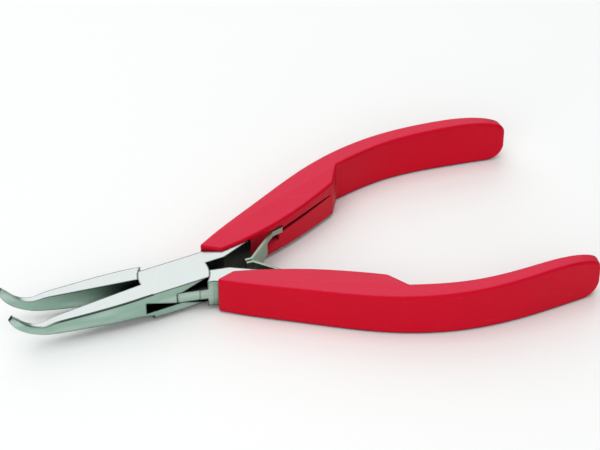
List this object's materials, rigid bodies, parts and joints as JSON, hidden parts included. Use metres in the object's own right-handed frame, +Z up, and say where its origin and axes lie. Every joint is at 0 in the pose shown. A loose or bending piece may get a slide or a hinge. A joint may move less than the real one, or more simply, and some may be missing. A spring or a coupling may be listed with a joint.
{
  "type": "bent needle nose pliers",
  "caption": "Bent needle nose pliers with a box joint, leaf springs between the handles and slim moulded grips, for picking up and bending fine wire.",
  "frame": {"origin": "on the pivot axis, at the flat underside of the joint", "axes": "+X towards the handles, along the line midway between them; +Y towards the handle of the slotted half; +Z up, the way the tips are bent"},
  "size_m": [0.1289, 0.0606, 0.0125],
  "materials": {
    "polished_steel": "fine satin grind",
    "spring_steel": "satin strip",
    "red_grip": "smooth moulded, satin gloss"
  },
  "bodies": {
    "slotted_side": {"slotted_half": "polished_steel", "joint_rivet": "polished_steel", "upper_grip": "red_grip"},
    "tongued_side": {"tongued_half": "polished_steel", "lower_grip": "red_grip"},
    "upper_leaf": {"upper_leaf_spring": "spring_steel"},
    "lower_leaf": {"lower_leaf_spring": "spring_steel"}
  },
  "joints": [
    {"name": "jaw_pivot", "type": "hinge", "parent": "slotted_side", "child": "tongued_side", "pos_m": [0, 0, 0.00345], "axis": [0, 0, 1], "range_deg": [0, 13.2], "stiffness_Nm_per_rad": 1.5},
    {"name": "upper_leaf_flex", "type": "hinge", "parent": "slotted_side", "child": "upper_leaf", "pos_m": [0.02761, 0.00843, 0.00345], "axis": [0, 0, 1], "range_deg": [-11, 0]},
    {"name": "lower_leaf_flex", "type": "hinge", "parent": "tongued_side", "child": "lower_leaf", "pos_m": [0.02761, -0.00843, 0.00345], "axis": [0, 0, 1], "range_deg": [0, 11]}
  ],
  "couplings": [
    {"joint": "upper_leaf_flex", "follows": "jaw_pivot", "ratio": -0.79},
    {"joint": "lower_leaf_flex", "follows": "jaw_pivot", "ratio": 0.79}
  ]
}
